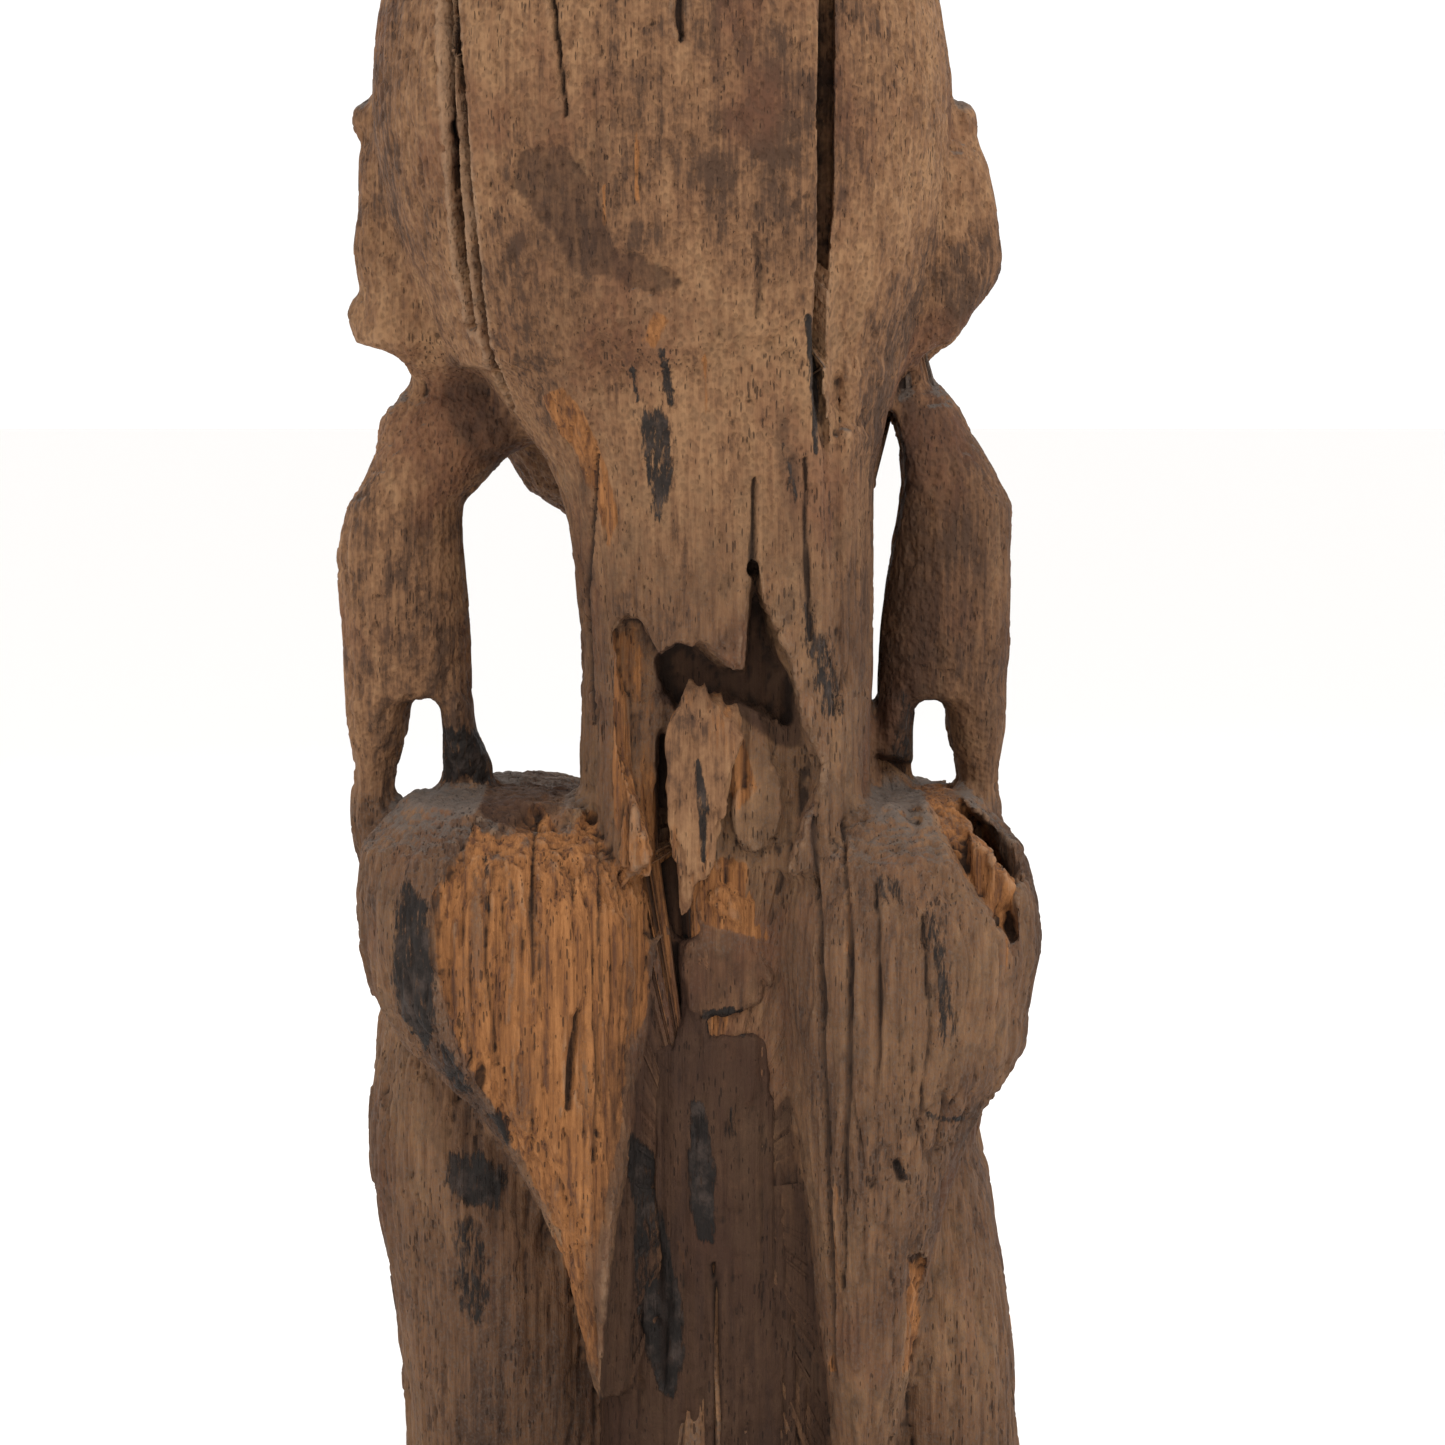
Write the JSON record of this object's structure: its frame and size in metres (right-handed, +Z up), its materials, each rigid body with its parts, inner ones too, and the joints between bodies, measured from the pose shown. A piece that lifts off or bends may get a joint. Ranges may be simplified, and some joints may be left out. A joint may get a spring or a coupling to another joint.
{
  "type": "tiki figure",
  "caption": "Weathered hardwood tiki figure squatting on a round plinth, hands on knees, with split head, torn back and rotted hollows.",
  "frame": {"origin": "centre of the plinth's flat underside", "axes": "+Z up the log; the figure faces -Y; +X is the figure's own left side"},
  "size_m": [0.224, 0.224, 0.597],
  "materials": {
    "weathered_hardwood": "matt, grey-brown, checked and pitted by weather",
    "bare_heartwood": "matt, orange-brown, freshly torn along the grain"
  },
  "bodies": {
    "root": {"back_splinter": "bare_heartwood", "branch_knot": "weathered_hardwood", "face": "weathered_hardwood", "head_core": "weathered_hardwood", "head_left_stave": "weathered_hardwood", "head_right_stave": "weathered_hardwood", "left_calf": "weathered_hardwood", "left_ear": "weathered_hardwood", "left_fingers": "weathered_hardwood", "left_foot": "weathered_hardwood", "left_forearm": "weathered_hardwood", "left_haunch": "weathered_hardwood", "left_thigh": "weathered_hardwood", "left_thumb": "weathered_hardwood", "left_upper_arm": "weathered_hardwood", "plinth": "weathered_hardwood", "right_calf": "weathered_hardwood", "right_ear": "weathered_hardwood", "right_fingers": "weathered_hardwood", "right_foot": "weathered_hardwood", "right_forearm": "weathered_hardwood", "right_haunch": "weathered_hardwood", "right_thigh": "weathered_hardwood", "right_thumb": "weathered_hardwood", "right_upper_arm": "weathered_hardwood", "seat_core": "weathered_hardwood", "torso": "weathered_hardwood"}
  },
  "joints": []
}
